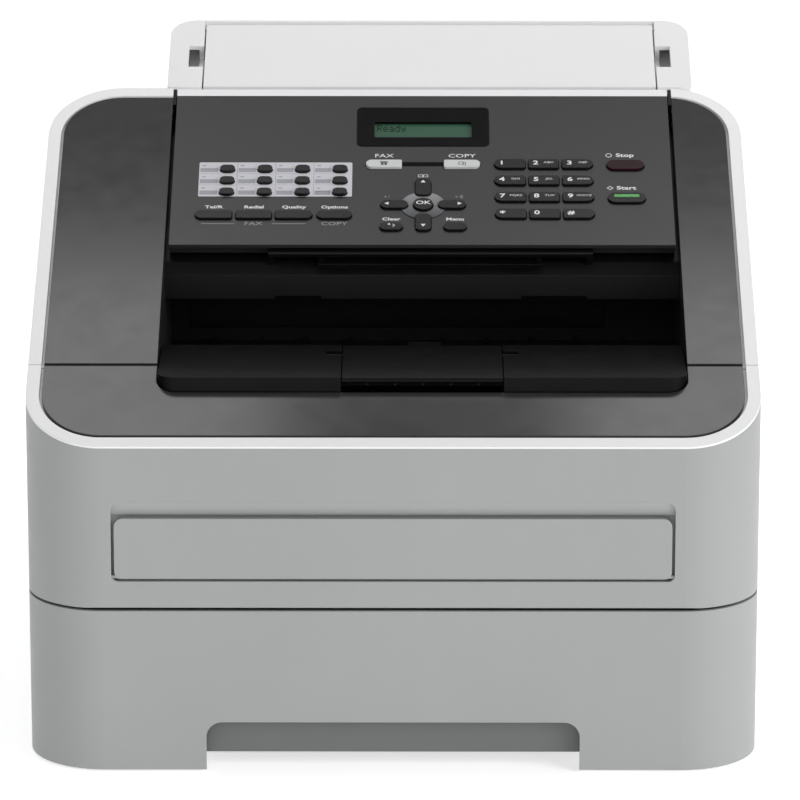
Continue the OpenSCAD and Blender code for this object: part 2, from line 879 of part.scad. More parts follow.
module lift_plate() {
    color("#b9bcbe") {
        difference() {
            box(-lift_x, tray_y0 + 6, lift_z - 1, lift_x, lift_y, lift_z + 1);
            for (x = [-44, 0, 44]) {
                box(x - 9, -60, lift_z - 2, x + 9, -30, lift_z + 2);
            }
        }
        rod(-lift_x, lift_x, lift_y, lift_z, 1.8);
        both_sides() rod(lift_x - 2, lift_x + 3, lift_y, lift_z, 1.5);
        // friction pad under the pickup roller
        box(-14, roller_y - 12, lift_z + 1 - eps, 14, roller_y + 12, lift_z + 2);
    }
}

// Side guide that stands at the edge of the sheets
module paper_guide() {
    base = tray_z0 + 2.5;
    box(guide_x, -140, base, guide_x + 2.2, -40, 58);
    box(guide_x, -102, base, guide_x + 9, -78, base + 2);
    box(guide_x + 2.1, -96, base, guide_x + 7, -84, base + 16);
}

module paper_guide_right() {
    color("#8f9293") paper_guide();
}

module paper_guide_left() {
    color("#8f9293") mirror([1, 0, 0]) paper_guide();
}

// ---------- control panel ----------

// Outline of a key: square ends, or ends rounded on either side
module key_outline(x0, x1, l0, l1, round_left, round_right, grow = 0) {
    r = (l1 - l0) / 2 + grow;
    small = 1 + grow;
    a = x0 - grow;
    b = x1 + grow;
    c = l0 - grow;
    d = l1 + grow;
    left = round_left ? r - eps : small;
    right = round_right ? r - eps : small;
    translate([a + left, c]) square([b - a - left - right, d - c]);
    for (y = [c + left, d - left]) {
        translate([a + left, y]) circle(left, $fn = 48);
    }
    for (y = [c + right, d - right]) {
        translate([b - right, y]) circle(right, $fn = 48);
    }
    translate([a, c + left]) square([left + eps, d - c - 2 * left]);
    translate([b - right - eps, c + right]) square([right + eps, d - c - 2 * right]);
}

// Key cap with a flange below the panel and a stem that meets the key board
module key(x0, x1, l0, l1, round_left = true, round_right = true, proud = key_proud) {
    on_slope() {
        translate([0, 0, -panel_t - 2.1]) linear_extrude(proud + panel_t + 2.1) {
            key_outline(x0, x1, l0, l1, round_left, round_right);
        }
        translate([0, 0, -panel_t - 2.1]) linear_extrude(1.6) {
            key_outline(x0, x1, l0, l1, round_left, round_right, key_flange);
        }
        translate([(x0 + x1) / 2, (l0 + l1) / 2, -panel_t - 2.8]) {
            cylinder(h = 1, r = 1.4, $fn = 32);
        }
    }
}

function pad_at(i) = [
    pad_x[i % 3], pad_x[i % 3] + pad_w[i % 3], pad_l[floor(i / 3)], pad_l[floor(i / 3)] + pad_d];

// Every key's outline, for the holes in the panel
module key_holes() {
    for (i = [0:11]) {
        p = pad_at(i);
        key_outline(p[0], p[1], p[2], p[3], i % 3 == 0, i % 3 == 2, key_gap);
    }
    for (i = [0:3]) {
        key_outline(func_x[i][0], func_x[i][1], func_l, func_l + func_d,
            i == 0 || i == 3, i >= 2, key_gap);
    }
    for (x = touch_x, l = touch_l) {
        key_outline(x - touch_w / 2, x + touch_w / 2, l - touch_d / 2, l + touch_d / 2,
            true, true, key_gap);
    }
    for (k = concat(wide_keys, [fax_key, copy_key])) {
        key_outline(k[0], k[1], k[2], k[3], k[4], k[5], key_gap);
    }
    for (k = [up_key, down_key]) {
        tall_outline(k, key_gap);
    }
    translate([nav_x, nav_l]) circle(ok_r + key_gap, $fn = 64);
}

fax_key = [-15.1, 3.8, 225, 231.4, true, false];
copy_key = [26, 45, 225, 231.4, false, true];
stop_key = [111.8, 131.4, 223.4, 231.4, true, true];
start_key = [111.8, 131.4, 194.2, 202.4, true, true];
left_key = [-7.2, 7, 189.1, 195.7, true, true];
right_key = [22.9, 37.2, 189.1, 195.7, true, true];
clear_key = [-7.5, 4.2, 170.2, 176.2, true, true];
menu_key = [25.7, 37.5, 170.2, 176.2, true, true];
up_key = [11, 19, 200.4, 214.8];
down_key = [11, 19, 170, 183.8];
wide_keys = [stop_key, start_key, left_key, right_key, clear_key, menu_key];
ok_r = 5;

// Upright key, rounded at its outer end and square towards the centre
module tall_outline(k, grow = 0) {
    round_rect(k[0] - grow, k[2] - grow, k[1] + grow, k[3] + grow, 2.6 + grow);
}

module tall_key(k) {
    on_slope() {
        translate([0, 0, -panel_t - 2.1]) linear_extrude(key_proud + panel_t + 2.1) tall_outline(k);
        translate([0, 0, -panel_t - 2.1]) linear_extrude(1.6) tall_outline(k, key_flange);
        translate([nav_x, (k[2] + k[3]) / 2, -panel_t - 2.8]) cylinder(h = 1, r = 1.4, $fn = 32);
    }
}

module panel_shell() {
    color("#4b4d50") on_slope() {
        difference() {
            box(panel_x0, panel_l, -panel_h, panel_x1, slope_len - 1.1, 0);
            box(panel_x0 + 2.2, panel_l + 9.2, -panel_h - 1, panel_x1 - 2.2, slope_len - 2.2,
                -panel_t);
            // the front edge overhangs the exit rail
            box(panel_x0 - 1, panel_l - 1, -panel_h - 1, panel_x1 + 1, panel_l + 7, -2.2);
            translate([0, 0, -panel_t - 1]) linear_extrude(10) key_holes();
            // seat of the display window, with an opening for the display
            translate([0, 0, -1.2]) linear_extrude(3) {
                round_rect(-20.1, 244.9, 50.1, 280.1, 3);
            }
            box(-12, 252, -5, 42, 268, 5);
        }
        // posts that carry the key board
        for (x = [panel_x0 + 8, -15, 45, panel_x1 - 8], l = [panel_l + 14, 240]) {
            translate([x, l, board_n + 1.6]) {
                cylinder(h = -panel_t - board_n - 1.6 + eps, r = 2, $fn = 32);
            }
        }
        // hinge pins
        rod(panel_x0 - 1.9, panel_x0 + 3, hinge_l, hinge_n, hinge_r);
        rod(panel_x1 - 3, panel_x1 + 1.9, hinge_l, hinge_n, hinge_r);
    }
}

module display_bezel() {
    color("#1f2021") on_slope() difference() {
        translate([0, 0, -1.2]) linear_extrude(1.6) round_rect(-19.9, 245.1, 49.9, 279.9, 2.8);
        translate([0, 0, -3]) linear_extrude(6) round_rect(-10.8, 252.8, 40.8, 266.8, 0.8);
    }
}

module display_screen() {
    color("#55806a") on_slope() box(-11, 252.5, board_n + 1.6, 41, 267.5, -1.3);
}

module panel_board() {
    color("#2f6b3f") on_slope() {
        difference() {
            box(panel_x0 + 4, panel_l + 10.6, board_n, panel_x1 - 4, 274, board_n + 1.6);
            for (x = [-100, 130]) {
                translate([x, 266, board_n - 1]) cylinder(h = 4, r = 1.6, $fn = 32);
            }
        }
        box(-60, 246, board_n + 1.5, -40, 256, board_n + 3.4);
        box(70, 246, board_n + 1.5, 96, 254, board_n + 3);
    }
}

module one_touch_keys() {
    color("#2b2c2e") for (x = touch_x, l = touch_l) {
        key(x - touch_w / 2, x + touch_w / 2, l - touch_d / 2, l + touch_d / 2, true, true, 1.8);
    }
    // strips that join the keys below the panel
    color("#2b2c2e") on_slope() for (l = touch_l) {
        box(touch_x[0], l - 1, -panel_t - 2.1, touch_x[3], l + 1, -panel_t - 0.9);
    }
    color("#2b2c2e") on_slope() {
        box(touch_x[0] - 1, touch_l[2], -panel_t - 2.1, touch_x[0] + 1, touch_l[0], -panel_t - 0.9);
    }
}

module digit_key(i) {
    p = pad_at(i);
    color("#2b2c2e") key(p[0], p[1], p[2], p[3], i % 3 == 0, i % 3 == 2);
}

module function_key(i) {
    color("#2b2c2e") key(func_x[i][0], func_x[i][1], func_l, func_l + func_d,
        i == 0 || i == 3, i >= 2);
}

module wide_key(k, shade) {
    color(shade) key(k[0], k[1], k[2], k[3], k[4], k[5]);
}

module key_ok() {
    color("#2b2c2e") on_slope() {
        translate([nav_x, nav_l, -panel_t - 2.1]) {
            cylinder(h = key_proud + panel_t + 2.5, r = ok_r, $fn = 64);
            cylinder(h = 1.6, r = ok_r + key_flange, $fn = 64);
        }
        translate([nav_x, nav_l, -panel_t - 2.8]) cylinder(h = 1, r = 1.4, $fn = 32);
    }
}

// ---------- rear ----------

module rear_cover() {
    color("#9da0a0") {
        difference() {
            union() {
                box(-rear_x, back_y - rear_t, rear_pivot_z, rear_x, back_y, rear_z1);
                rod(-rear_x, rear_x, rear_pivot_y, rear_pivot_z, rear_t / 2);
            }
            // grip
            box(-22, back_y - 1.4, rear_z1 - 14, 22, back_y + 1, rear_z1 - 4);
        }
        both_sides() rod(rear_x - 2, rear_x + 3.2, rear_pivot_y, rear_pivot_z, rear_pin_r);
        // paper guide ribs on the inside
        for (x = [-90:20:90]) {
            profile(x, x + 1.6, [
                [back_y - rear_t + eps, 112], [back_y - 12, 124], [back_y - 12, 168],
                [back_y - rear_t + eps, 184]]);
        }
    }
}

module rear_sockets() {
    color("#2a2b2d") difference() {
        box(-163.6, back_y - 16, 30.4, -104.4, back_y - 0.6, 65.6);
        // mains inlet, two line jacks and a data port
        box(-160, back_y - 13, 36, -136, back_y + 1, 52);
        for (x = [-131, -117]) {
            box(x, back_y - 13, 34, x + 10.4, back_y + 1, 42.4);
        }
        box(-130, back_y - 12, 49, -117.6, back_y + 1, 60);
    }
    // contact blades of the inlet
    color("#c9cacc") for (x = [-154, -143]) {
        box(x, back_y - 13.1, 43, x + 1.6, back_y - 4, 47);
    }
}

// ---------- engine ----------

module print_cartridge() {
    color("#2d2e30") {
        difference() {
            profile(-116, 116, [
                [-104, 106], [-82, 100], [-78, 92], [4, 91], [10, 100], [10, 124], [-8, 134],
                [-96, 134], [-104, 126]]);
            box(-40, -106, 104, 40, -92, 120);
        }
        // toner housing cap and grip
        for (x = [-117, 115]) {
            rod(x, x + 2, -70, 112, 14);
        }
        rod(-42, 42, -98, 119, 3);
    }
    // photoconductor drum
    color("#3a6f63") rod(-112, 112, 2, 101, 12);
}

module pickup_roller() {
    color("#3b3b3b") {
        rod(-rail_x - 1.5, rail_x + 1.5, roller_y, roller_z, shaft_r);
        rod(-20, 20, roller_y, roller_z, roller_r);
        for (x = [-60, 48]) {
            rod(x, x + 12, roller_y, roller_z, roller_r - 2);
        }
    }
}

module fuser_unit() {
    color("#7d7f82") {
        difference() {
            profile(-118, 118, [
                [62, 90], [108, 90], [108, 140], [98, 150], [70, 150], [62, 142]]);
            profile(-114, 114, [[64, 98], [110, 108], [110, 132], [64, 124]]);
            profile(-112, 112, [[61, 104], [66, 104], [66, 118], [61, 118]]);
        }
    }
    color("#b5653a") rod(-115, 115, 84, 121, 7);
    color("#4a3030") rod(-115, 115, 84, 106, 7.6);
}

module laser_unit() {
    color("#3c3e41") {
        difference() {
            profile(-108, 108, [
                [-70, 137], [34, 137], [34, 150], [20, 157], [-60, 158], [-70, 152]]);
            box(-96, -8, 136, 96, 2, 141);
        }
        translate([-30, -32, 135]) cylinder(h = 3, r = 22, $fn = 64);
    }
    // lid screws
    color("#b0b2b4") for (x = [-98, 98], y = [-56, 12]) {
        translate([x, y, 150]) cylinder(h = 8.6, r = 2.6, $fn = 24);
    }
}

module main_board() {
    color("#2f6b3f") box(139, -70, 18, 140.6, 130, 148);
    color("#35373a") for (k = [0:3]) {
        box(140.5, -56 + 44 * k, 34 + 22 * (k % 2), 144, -28 + 44 * k, 62 + 22 * (k % 2));
    }
    color("#c2c4c6") for (k = [0:2]) {
        translate([140.5, -40 + 60 * k, 124]) rotate([0, 90, 0]) cylinder(h = 16, r = 7, $fn = 32);
    }
    // stand-offs to the engine's side wall
    color("#c8a24a") for (y = [-62, 122], z = [26, 140]) {
        rod(rail_x + wall, 139.1, y, z, 2.5);
    }
}

// ---------- drawing ----------

base_frame();
left_cover();
right_cover();
rear_housing();
rim_frame();
top_cover();
output_tray();
adf_base();
hood_frame();
document_tray();
front_cover();
front_rim();
front_top();
front_shelf();
support_flap();
manual_feed_cover();
paper_tray();
lift_plate();
paper_guide_left();
paper_guide_right();
panel_shell();
display_bezel();
display_screen();
panel_board();
rear_cover();
rear_sockets();
print_cartridge();
pickup_roller();
adf_roller();
fuser_unit();
laser_unit();
main_board();
wide_key(stop_key, "#5a2a2c");  // key_stop
wide_key(start_key, "#2b2c2e");  // key_start
wide_key(fax_key, "#b9babb");  // key_fax
wide_key(copy_key, "#b9babb");  // key_copy
wide_key(left_key, "#2b2c2e");  // key_left
wide_key(right_key, "#2b2c2e");  // key_right
wide_key(clear_key, "#2b2c2e");  // key_clear
wide_key(menu_key, "#2b2c2e");  // key_menu
color("#2b2c2e") tall_key(up_key);  // key_up
color("#2b2c2e") tall_key(down_key);  // key_down
key_ok();
one_touch_keys();
for (i = [0:3]) {
    function_key(i);
}
for (i = [0:11]) {
    digit_key(i);
}
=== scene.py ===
"""Looks of the fax machine: materials, printed labels, display, soft edges, light and camera."""

import json
from math import atan2, cos, pi, radians, sin

import bpy
from mathutils import Matrix, Vector


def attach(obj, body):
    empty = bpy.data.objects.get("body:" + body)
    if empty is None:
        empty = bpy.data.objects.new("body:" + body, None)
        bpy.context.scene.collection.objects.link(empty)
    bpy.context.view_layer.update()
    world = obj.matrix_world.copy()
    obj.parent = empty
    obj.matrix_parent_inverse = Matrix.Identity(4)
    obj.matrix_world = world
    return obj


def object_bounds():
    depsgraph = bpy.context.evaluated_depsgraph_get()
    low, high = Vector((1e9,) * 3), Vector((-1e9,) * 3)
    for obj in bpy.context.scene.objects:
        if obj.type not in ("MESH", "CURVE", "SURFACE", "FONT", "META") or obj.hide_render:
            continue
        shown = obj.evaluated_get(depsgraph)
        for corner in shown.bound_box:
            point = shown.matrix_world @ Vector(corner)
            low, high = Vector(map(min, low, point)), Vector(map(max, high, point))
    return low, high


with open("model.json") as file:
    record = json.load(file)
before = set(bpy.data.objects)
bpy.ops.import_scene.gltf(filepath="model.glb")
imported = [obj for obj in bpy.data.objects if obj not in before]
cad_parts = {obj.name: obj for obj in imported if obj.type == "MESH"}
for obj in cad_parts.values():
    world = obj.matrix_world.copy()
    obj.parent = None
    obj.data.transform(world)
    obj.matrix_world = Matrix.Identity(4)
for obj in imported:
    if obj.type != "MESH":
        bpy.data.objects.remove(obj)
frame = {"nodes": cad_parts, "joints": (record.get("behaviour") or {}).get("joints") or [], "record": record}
CAD_BOX = [list(corner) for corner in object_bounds()]
NODES = frame["nodes"]

# ---------------------------------------------------------------- the slope's own frame
# x runs across, l up the slope from the dark top's front edge, n out of the slope.
PRESS = Vector(next(j["axis"] for j in frame["joints"] if j["name"] == "key_ok_press"))
SLOPE = atan2(PRESS.y, -PRESS.z)
TOP_EDGE = Vector((0, -0.1734, 0.1733))
FRONT_Y = CAD_BOX[0][1]
TO_SLOPE = Matrix.Translation(TOP_EDGE) @ Matrix.Rotation(SLOPE, 4, "X")


def slope_box(node):
    """Lowest and highest corner of a CAD node in the slope's own frame, in metres."""
    back = TO_SLOPE.inverted()
    points = [back @ v.co for v in NODES[node].data.vertices]
    low = Vector(min(p[k] for p in points) for k in range(3))
    high = Vector(max(p[k] for p in points) for k in range(3))
    return low, high


# ---------------------------------------------------------------- materials
EDGE = 0.0005       # radius of the soft look on every edge


def linear(*srgb):
    """Linear colour of an sRGB colour given from 0 to 255."""
    parts = [c / 255 for c in srgb]
    return [c / 12.92 if c <= 0.04045 else ((c + 0.055) / 1.055) ** 2.4 for c in parts] + [1.0]


class Surface:
    """A Principled material whose patterns read the object's own coordinates."""

    def __init__(self, name):
        self.material = bpy.data.materials.new(name)
        self.material.use_nodes = True
        self.tree = self.material.node_tree
        self.shader = self.tree.nodes["Principled BSDF"]
        self.place = self.tree.nodes.new("ShaderNodeTexCoord").outputs["Object"]
        self.edges = None

    def set(self, **sockets):
        for name, value in sockets.items():
            self.shader.inputs[name.replace("_", " ")].default_value = value
        return self

    def node(self, kind, **values):
        made = self.tree.nodes.new(kind)
        for name, value in values.items():
            made.inputs[name.replace("_", " ")].default_value = value
        return made

    def link(self, a, b):
        self.tree.links.new(a, b)

    def noise(self, size, detail=2.0, stretch=(1, 1, 1)):
        """Noise from 0 to 1 whose features are about size metres across."""
        place = self.place
        if stretch != (1, 1, 1):
            scale = self.node("ShaderNodeMapping", Scale=stretch)
            self.link(place, scale.inputs["Vector"])
            place = scale.outputs["Vector"]
        made = self.node("ShaderNodeTexNoise", Scale=1 / size, Detail=detail, Roughness=0.55)
        self.link(place, made.inputs["Vector"])
        return made.outputs["Fac"]

    def spread(self, value, low, high, start=0.3, end=0.7):
        """Maps a pattern to the range low to high."""
        made = self.node("ShaderNodeMapRange", From_Min=start, From_Max=end, To_Min=low, To_Max=high)
        self.link(value, made.inputs["Value"])
        return made.outputs["Result"]

    def tint(self, value, first, second):
        """Colour that goes from first to second as value goes from 0 to 1."""
        made = self.tree.nodes.new("ShaderNodeMix")
        made.data_type = "RGBA"
        colours = [s for s in made.inputs if s.type == "RGBA"]
        colours[0].default_value = first
        colours[1].default_value = second
        self.link(value, made.inputs[0])
        return next(s for s in made.outputs if s.type == "RGBA")

    def times(self, first, second):
        """Product of two colours."""
        made = self.tree.nodes.new("ShaderNodeMix")
        made.data_type = "RGBA"
        made.blend_type = "MULTIPLY"
        made.inputs[0].default_value = 1.0
        colours = [i for i in made.inputs if i.type == "RGBA"]
        self.link(first, colours[0])
        self.link(second, colours[1])
        return next(i for i in made.outputs if i.type == "RGBA")

    def product(self, first, second):
        made = self.node("ShaderNodeMath")
        made.operation = "MULTIPLY"
        self.link(first, made.inputs[0])
        self.link(second, made.inputs[1])
        return made.outputs["Value"]

    def painted_recess_shade(self, colour, behind, below, half, dark):
        """Painted shade: colour that falls to a dark share of itself behind a Y, below a Z and within half of
        X = 0.
        """
        split = self.node("ShaderNodeSeparateXYZ")
        self.link(self.place, split.inputs["Vector"])
        deep = self.spread(split.outputs["Y"], 0.0, 1.0, behind, behind + 0.0005)
        low = self.spread(split.outputs["Z"], 1.0, 0.0, below, below + 0.0005)
        across = self.node("ShaderNodeMath")
        across.operation = "ABSOLUTE"
        self.link(split.outputs["X"], across.inputs[0])
        inner = self.spread(across.outputs["Value"], 1.0, 0.0, half, half + 0.0005)
        both = self.product(self.product(deep, low), inner)
        fall = self.tint(both, [1.0, 1.0, 1.0, 1.0], [dark, dark, dark, 1.0])
        return self.times(colour, fall)

    def bump(self, value, depth):
        """Raises the surface by a pattern, on top of softly rounded edges."""
        made = self.node("ShaderNodeBump", Strength=1.0, Distance=depth)
        self.link(value, made.inputs["Height"])
        self.link(self.round_edges().outputs["Normal"], made.inputs["Normal"])
        self.link(made.outputs["Normal"], self.shader.inputs["Normal"])

    def round_edges(self):
        if self.edges is None:
            self.edges = self.node("ShaderNodeBevel", Radius=EDGE)
            self.edges.samples = 4
        return self.edges

    def wear(self, colour, worn, amount):
        """Lets a colour go over to another one along the object's edges."""
        turn = self.node("ShaderNodeVectorMath")
        turn.operation = "DOT_PRODUCT"
        flat = self.node("ShaderNodeNewGeometry")
        self.link(self.round_edges().outputs["Normal"], turn.inputs[0])
        self.link(flat.outputs["Normal"], turn.inputs[1])
        edge = self.spread(turn.outputs["Value"], amount, 0.0, 0.8, 1.0)
        mixed = self.tint(edge, worn, worn)
        self.link(colour, [i for i in mixed.node.inputs if i.type == "RGBA"][0])
        return mixed

    def paint(self, colour):
        self.link(colour, self.shader.inputs["Base Color"])

    def rough(self, value):
        self.link(value, self.shader.inputs["Roughness"])


def scaled(colour, factor):
    return [min(1.0, c * factor) for c in colour[:3]] + [1.0]


def plastic(name, colour, rough=(0.42, 0.5), grain=0.0006, depth=0.00001, mottle=0.04, shine=0.5,
            recess=None):
    """Moulded plastic: spark-eroded grain, faint flow marks, pale edges and an uneven gloss; where recess is
    given, shade is painted into the colour there.
    """
    s = Surface(name)
    s.set(IOR=1.5, Specular_IOR_Level=shine)
    flow = s.noise(0.05, 3.0, (1, 1, 0.4))
    cover = s.tint(flow, scaled(colour, 1 - mottle), scaled(colour, 1 + mottle))
    worn = s.wear(cover, scaled(colour, 1.5), 0.5)
    # the recess, when given, is darkened by painted shade
    s.paint(s.painted_recess_shade(worn, *recess) if recess else worn)
    s.rough(s.spread(s.noise(0.012, 3.0), rough[0], rough[1]))
    s.bump(s.noise(grain, 1.0), depth)
    return s.material


def metal(name, colour, rough=(0.28, 0.42), streak=(1, 30, 30)):
    """Rolled sheet or turned steel with fine lines along one direction."""
    s = Surface(name)
    s.set(Metallic=1.0)
    lines = s.noise(0.008, 4.0, streak)
    s.paint(s.tint(lines, scaled(colour, 0.9), scaled(colour, 1.06)))
    s.rough(s.spread(lines, rough[0], rough[1]))
    s.bump(lines, 0.000004)
    return s.material


def rubber(name, colour):
    s = Surface(name)
    s.set(IOR=1.45)
    s.paint(s.tint(s.noise(0.004), scaled(colour, 0.8), scaled(colour, 1.25)))
    s.rough(s.spread(s.noise(0.002), 0.65, 0.85))
    s.bump(s.noise(0.0004, 2.0), 0.00002)
    return s.material


def board(name):
    """Green circuit board: solder mask over lighter copper tracks."""
    s = Surface(name)
    s.set(IOR=1.5, Coat_Weight=0.4, Coat_Roughness=0.15)
    tracks = s.node("ShaderNodeTexBrick", Scale=60.0, Mortar_Size=0.012)
    s.link(s.place, tracks.inputs["Vector"])
    edge = s.spread(tracks.outputs["Fac"], 0.0, 1.0, 0.0, 1.0)
    s.paint(s.tint(edge, linear(28, 92, 54), linear(52, 128, 80)))
    s.rough(s.spread(s.noise(0.01), 0.35, 0.5))
    s.bump(edge, 0.00003)
    return s.material


def ink(name, colour, rough=0.5, shine=0.5):
    """Screen-printed ink with slightly uneven cover."""
    s = Surface(name)
    s.set(Specular_IOR_Level=shine)
    s.paint(s.tint(s.noise(0.0012), scaled(colour, 0.9), scaled(colour, 1.04)))
    s.rough(s.spread(s.noise(0.002), rough - 0.06, rough + 0.06))
    return s.material


def silver(name):
    """Metallic paint of the navigation disc, with painted shading: darker towards its low edge and lighter
    towards its high edge, as light falls on a domed disc.
    """
    s = Surface(name)
    s.set(Metallic=0.6, Coat_Weight=0.3, Coat_Roughness=0.1)
    split = s.node("ShaderNodeSeparateXYZ")
    s.link(s.place, split.inputs["Vector"])
    # painted shading: the colour darkens towards the disc's low edge and lightens towards its high edge
    height = s.spread(split.outputs["Z"], 0.0, 1.0, 0.2433, 0.2523)
    painted_shade = s.tint(height, linear(66, 67, 69), linear(158, 159, 161))
    grain = s.tint(s.noise(0.0005, 4.0), linear(232, 232, 232), linear(255, 255, 255))
    s.paint(s.times(painted_shade, grain))
    s.rough(s.spread(s.noise(0.0008), 0.3, 0.42))
    s.bump(s.noise(0.0003), 0.000004)
    return s.material


def lcd(name):
    """Green liquid crystal glass with a faintly uneven tone."""
    s = Surface(name)
    s.set(IOR=1.5, Specular_IOR_Level=0.25)
    s.paint(s.tint(s.noise(0.02), linear(46, 80, 62), linear(54, 92, 72)))
    s.rough(s.spread(s.noise(0.004), 0.3, 0.4))
    # painted glow: the glass gives off a faint light of its own to look brighter
    s.shader.inputs["Emission Color"].default_value = linear(80, 126, 100)
    s.shader.inputs["Emission Strength"].default_value = 0.03
    return s.material


def panel_paint(name, colour, strip):
    """Control panel: charcoal shell with the white strip at its rear, moulded in two colours."""
    s = Surface(name)
    s.set(IOR=1.5)
    along = s.node("ShaderNodeVectorMath")
    along.operation = "DOT_PRODUCT"
    along.inputs[1].default_value = (0, cos(SLOPE), sin(SLOPE))
    s.link(s.place, along.inputs[0])
    start = TOP_EDGE.y * cos(SLOPE) + TOP_EDGE.z * sin(SLOPE)
    step = s.spread(along.outputs["Value"], 0.0, 1.0, start + STRIP_L, start + STRIP_L + 0.0001)
    flow = s.tint(s.noise(0.05, 3.0), scaled(colour, 0.97), scaled(colour, 1.03))
    mixed = s.tint(step, colour, strip)
    s.link(flow, [i for i in mixed.node.inputs if i.type == "RGBA"][0])
    s.paint(mixed)
    s.rough(s.spread(s.noise(0.012, 3.0), 0.3, 0.36))
    s.bump(s.noise(0.0006, 1.0), 0.000006)
    return s.material


STRIP_L = 0.2908
# Painted shade of the grip recess: behind this Y, below this Z, within this half width; share of the colour
# kept
GRIP_SHADE = (FRONT_Y + 0.006, 0.028, 0.094, 0.4)
WHITE = linear(242, 242, 243)
GREY = linear(158, 160, 160)
MATERIALS = {
    "frame": plastic("frame_plastic", linear(46, 47, 49)),
    "case": plastic("case_plastic", GREY, (0.44, 0.54)),
    # the paper tray's plastic, with painted shade in its grip recess
    "cassette": plastic("cassette_plastic_painted_shade", GREY, (0.44, 0.54), recess=GRIP_SHADE),
    "rim": plastic("white_plastic", WHITE, (0.34, 0.42), mottle=0.015),
    "top": plastic("charcoal_plastic", linear(50, 50, 51), (0.14, 0.19), depth=0.0000015),
    "recess": plastic("black_plastic", linear(9, 9, 9), (0.36, 0.46), shine=0.25),
    "shelf": plastic("shelf_plastic", linear(7, 7, 7), (0.34, 0.42), shine=0.14),
    "plate": metal("zinc_sheet", linear(186, 189, 192)),
    "guide": plastic("guide_plastic", linear(150, 153, 155)),
    "panel": panel_paint("panel_plastic", linear(44, 44, 45), WHITE),
    "window": plastic("window_acrylic", linear(10, 10, 10), (0.12, 0.16), depth=0.000001, shine=0.16),
    "display": lcd("display_glass"),
    "board": board("board_green"),
    "socket": plastic("socket_nylon", linear(38, 38, 40)),
    "cartridge": plastic("cartridge_plastic", linear(48, 49, 51)),
    "roller": rubber("roller_rubber", linear(50, 50, 50)),
    "engine": plastic("engine_plastic", linear(92, 94, 97)),
    "key": plastic("key_plastic", linear(13, 13, 14), (0.24, 0.3), mottle=0.02, shine=0.35),
    "key_stop": plastic("key_dark_red", linear(38, 9, 16), (0.3, 0.38), shine=0.2),
    "key_light": plastic("key_light_grey", linear(205, 206, 207), (0.4, 0.46)),
}
INK_WHITE = ink("white_ink", linear(232, 232, 232))
INK_LIGHT = ink("light_ink", linear(196, 196, 198))
INK_GREY = ink("grey_ink", linear(150, 150, 152))
INK_DARK = ink("dark_ink", linear(34, 34, 36))
LABEL = ink("label_card", linear(206, 206, 212), 0.45)
LABEL_BAND = ink("label_band", linear(158, 159, 166), 0.45)
SILVER = silver("silver_paint")
# painted shade for the groove between the fax key and the copy key
GROOVE_SHADE = ink("groove_painted_shade", linear(6, 6, 7), 0.6, 0.08)
LCD_INK = ink("display_segments", linear(14, 26, 20), 0.6, 0.08)


def green_lens(name):
    s = Surface(name)
    s.set(Transmission_Weight=0.2, IOR=1.5)
    s.paint(s.tint(s.noise(0.003), linear(84, 156, 86), linear(104, 184, 104)))
    s.rough(s.spread(s.noise(0.002), 0.2, 0.3))
    s.shader.inputs["Emission Color"].default_value = linear(70, 150, 76)
    s.shader.inputs["Emission Strength"].default_value = 0.15
    return s.material


GREEN_LENS = green_lens("start_lens")

# ---------------------------------------------------------------- CAD nodes
def dress_nodes():
    slots = {row["node"]: row["material_slot"] for row in frame["record"]["subparts"]}
    for name, o in NODES.items():
        o.data.materials.clear()
        # the paper tray gets the plastic with painted shade in its grip recess
        slot = "cassette" if name == "paper_tray" else slots[name]
        o.data.materials.append(MATERIALS[slot])


dress_nodes()


# ---------------------------------------------------------------- printed pieces
def arc(x, y, r, start, end, steps=8):
    """Points along an arc; angles in degrees."""
    turns = [radians(start + (end - start) * k / steps) for k in range(steps + 1)]
    return [(x + r * cos(t), y + r * sin(t)) for t in turns]


def rounded(x0, y0, x1, y1, r, left=True, right=True, steps=6):
    """Outline of a rectangle with round corners, or with square corners at one end."""
    small = min(r, 0.0004)
    a, b = (r if left else small), (r if right else small)
    return (arc(x1 - b, y1 - b, b, 0, 90, steps) + arc(x0 + a, y1 - a, a, 90, 180, steps)
            + arc(x0 + a, y0 + a, a, 180, 270, steps) + arc(x1 - b, y0 + b, b, 270, 360, steps))


def ring(x, y, r, steps=48):
    return arc(x, y, r, 0, 360 - 360 / steps, steps - 1)


def shape_mesh(outlines, thick):
    """Mesh of a flat shape; outlines inside others are holes. Its back is at n = 0."""
    curve = bpy.data.curves.new("shape", "CURVE")
    curve.dimensions = "2D"
    curve.fill_mode = "BOTH"
    curve.extrude = thick / 2
    for points in outlines:
        spline = curve.splines.new("POLY")
        spline.points.add(len(points) - 1)
        for p, (x, y) in zip(spline.points, points):
            p.co = (x, y, 0, 1)
        spline.use_cyclic_u = True
    return curve_to_mesh(curve, thick / 2)


def text_mesh(words, size, wide=1.0, thick=0.00004, bold=0.0):
    """Mesh of a printed word, centred on its middle."""
    curve = bpy.data.curves.new("words", "FONT")
    curve.body = words
    curve.size = size
    curve.align_x = "CENTER"
    curve.align_y = "CENTER"
    curve.extrude = thick / 2
    curve.offset = bold
    curve.resolution_u = 3
    mesh = curve_to_mesh(curve, thick / 2)
    mesh.transform(Matrix.Diagonal((wide, 1, 1, 1)))
    return mesh


def curve_to_mesh(curve, lift):
    holder = bpy.data.objects.new("holder", curve)
    bpy.context.scene.collection.objects.link(holder)
    bpy.context.view_layer.update()
    depsgraph = bpy.context.evaluated_depsgraph_get()
    mesh = bpy.data.meshes.new_from_object(holder.evaluated_get(depsgraph))
    bpy.data.objects.remove(holder)
    bpy.data.curves.remove(curve)
    mesh.transform(Matrix.Translation((0, 0, lift)))
    return mesh


